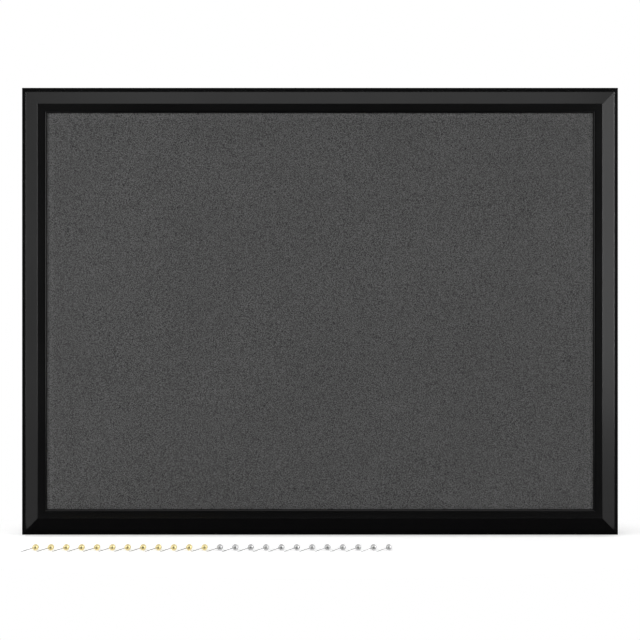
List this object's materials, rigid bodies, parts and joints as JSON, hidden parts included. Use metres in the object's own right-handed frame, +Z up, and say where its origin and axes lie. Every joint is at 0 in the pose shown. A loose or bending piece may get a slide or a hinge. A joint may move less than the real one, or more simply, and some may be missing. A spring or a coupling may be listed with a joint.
{
  "type": "pin board",
  "caption": "Framed pin board with a cloth face over a soft core, swinging hanger rings on its back and a set of loose ball-headed pins.",
  "frame": {"origin": "middle of the bottom rail's outer face, on which the board stands", "axes": "+X to the right as seen from the front, +Y to the back of the board, +Z up"},
  "size_m": [0.6096, 0.0914, 0.4572],
  "materials": {
    "frame": "satin black lacquer",
    "fabric": "short-napped cloth",
    "core": "soft fibre board",
    "backing": "hardboard",
    "steel": "zinc plated",
    "rubber": "matt",
    "gold": "polished",
    "silver": "polished"
  },
  "bodies": {
    "board": {"rail_bottom": "frame", "rail_top": "frame", "rail_left": "frame", "rail_right": "frame", "retaining_point_bottom_1": "steel", "retaining_point_bottom_2": "steel", "retaining_point_bottom_3": "steel", "retaining_point_top_1": "steel", "retaining_point_top_2": "steel", "retaining_point_top_3": "steel", "retaining_point_left_1": "steel", "retaining_point_left_2": "steel", "retaining_point_right_1": "steel", "retaining_point_right_2": "steel", "v_nail_bottom_left_outer": "steel", "v_nail_bottom_left_inner": "steel", "v_nail_bottom_right_outer": "steel", "v_nail_bottom_right_inner": "steel", "v_nail_top_left_outer": "steel", "v_nail_top_left_inner": "steel", "v_nail_top_right_outer": "steel", "v_nail_top_right_inner": "steel", "fabric_facing": "fabric", "pinning_core": "core", "backing_board": "backing", "hanger_strap_left": "steel", "hanger_screw_left": "steel", "wall_bumper_left": "rubber", "hanger_strap_right": "steel", "hanger_screw_right": "steel", "wall_bumper_right": "rubber"},
    "ring_left": {"hanger_ring_left": "steel"},
    "ring_right": {"hanger_ring_right": "steel"},
    "gold_pin_01": {"gold_pin_01": "gold"},
    "gold_pin_02": {"gold_pin_02": "gold"},
    "gold_pin_03": {"gold_pin_03": "gold"},
    "gold_pin_04": {"gold_pin_04": "gold"},
    "gold_pin_05": {"gold_pin_05": "gold"},
    "gold_pin_06": {"gold_pin_06": "gold"},
    "gold_pin_07": {"gold_pin_07": "gold"},
    "gold_pin_08": {"gold_pin_08": "gold"},
    "gold_pin_09": {"gold_pin_09": "gold"},
    "gold_pin_10": {"gold_pin_10": "gold"},
    "gold_pin_11": {"gold_pin_11": "gold"},
    "gold_pin_12": {"gold_pin_12": "gold"},
    "silver_pin_01": {"silver_pin_01": "silver"},
    "silver_pin_02": {"silver_pin_02": "silver"},
    "silver_pin_03": {"silver_pin_03": "silver"},
    "silver_pin_04": {"silver_pin_04": "silver"},
    "silver_pin_05": {"silver_pin_05": "silver"},
    "silver_pin_06": {"silver_pin_06": "silver"},
    "silver_pin_07": {"silver_pin_07": "silver"},
    "silver_pin_08": {"silver_pin_08": "silver"},
    "silver_pin_09": {"silver_pin_09": "silver"},
    "silver_pin_10": {"silver_pin_10": "silver"},
    "silver_pin_11": {"silver_pin_11": "silver"},
    "silver_pin_12": {"silver_pin_12": "silver"}
  },
  "joints": [
    {"name": "ring_left_swing", "type": "hinge", "parent": "board", "child": "ring_left", "pos_m": [-0.29465, 0.01045, 0.3797], "axis": [1, 0, 0], "range_deg": [0, 170]},
    {"name": "ring_right_swing", "type": "hinge", "parent": "board", "child": "ring_right", "pos_m": [0.29465, 0.01045, 0.3797], "axis": [1, 0, 0], "range_deg": [0, 170]},
    {"name": "gold_pin_01_lift", "type": "slide", "parent": "board", "child": "gold_pin_01", "axis": [0, 0, 1], "range_m": [0, 0.04]},
    {"name": "gold_pin_02_lift", "type": "slide", "parent": "board", "child": "gold_pin_02", "axis": [0, 0, 1], "range_m": [0, 0.04]},
    {"name": "gold_pin_03_lift", "type": "slide", "parent": "board", "child": "gold_pin_03", "axis": [0, 0, 1], "range_m": [0, 0.04]},
    {"name": "gold_pin_04_lift", "type": "slide", "parent": "board", "child": "gold_pin_04", "axis": [0, 0, 1], "range_m": [0, 0.04]},
    {"name": "gold_pin_05_lift", "type": "slide", "parent": "board", "child": "gold_pin_05", "axis": [0, 0, 1], "range_m": [0, 0.04]},
    {"name": "gold_pin_06_lift", "type": "slide", "parent": "board", "child": "gold_pin_06", "axis": [0, 0, 1], "range_m": [0, 0.04]},
    {"name": "gold_pin_07_lift", "type": "slide", "parent": "board", "child": "gold_pin_07", "axis": [0, 0, 1], "range_m": [0, 0.04]},
    {"name": "gold_pin_08_lift", "type": "slide", "parent": "board", "child": "gold_pin_08", "axis": [0, 0, 1], "range_m": [0, 0.04]},
    {"name": "gold_pin_09_lift", "type": "slide", "parent": "board", "child": "gold_pin_09", "axis": [0, 0, 1], "range_m": [0, 0.04]},
    {"name": "gold_pin_10_lift", "type": "slide", "parent": "board", "child": "gold_pin_10", "axis": [0, 0, 1], "range_m": [0, 0.04]},
    {"name": "gold_pin_11_lift", "type": "slide", "parent": "board", "child": "gold_pin_11", "axis": [0, 0, 1], "range_m": [0, 0.04]},
    {"name": "gold_pin_12_lift", "type": "slide", "parent": "board", "child": "gold_pin_12", "axis": [0, 0, 1], "range_m": [0, 0.04]},
    {"name": "silver_pin_01_lift", "type": "slide", "parent": "board", "child": "silver_pin_01", "axis": [0, 0, 1], "range_m": [0, 0.04]},
    {"name": "silver_pin_02_lift", "type": "slide", "parent": "board", "child": "silver_pin_02", "axis": [0, 0, 1], "range_m": [0, 0.04]},
    {"name": "silver_pin_03_lift", "type": "slide", "parent": "board", "child": "silver_pin_03", "axis": [0, 0, 1], "range_m": [0, 0.04]},
    {"name": "silver_pin_04_lift", "type": "slide", "parent": "board", "child": "silver_pin_04", "axis": [0, 0, 1], "range_m": [0, 0.04]},
    {"name": "silver_pin_05_lift", "type": "slide", "parent": "board", "child": "silver_pin_05", "axis": [0, 0, 1], "range_m": [0, 0.04]},
    {"name": "silver_pin_06_lift", "type": "slide", "parent": "board", "child": "silver_pin_06", "axis": [0, 0, 1], "range_m": [0, 0.04]},
    {"name": "silver_pin_07_lift", "type": "slide", "parent": "board", "child": "silver_pin_07", "axis": [0, 0, 1], "range_m": [0, 0.04]},
    {"name": "silver_pin_08_lift", "type": "slide", "parent": "board", "child": "silver_pin_08", "axis": [0, 0, 1], "range_m": [0, 0.04]},
    {"name": "silver_pin_09_lift", "type": "slide", "parent": "board", "child": "silver_pin_09", "axis": [0, 0, 1], "range_m": [0, 0.04]},
    {"name": "silver_pin_10_lift", "type": "slide", "parent": "board", "child": "silver_pin_10", "axis": [0, 0, 1], "range_m": [0, 0.04]},
    {"name": "silver_pin_11_lift", "type": "slide", "parent": "board", "child": "silver_pin_11", "axis": [0, 0, 1], "range_m": [0, 0.04]},
    {"name": "silver_pin_12_lift", "type": "slide", "parent": "board", "child": "silver_pin_12", "axis": [0, 0, 1], "range_m": [0, 0.04]}
  ]
}
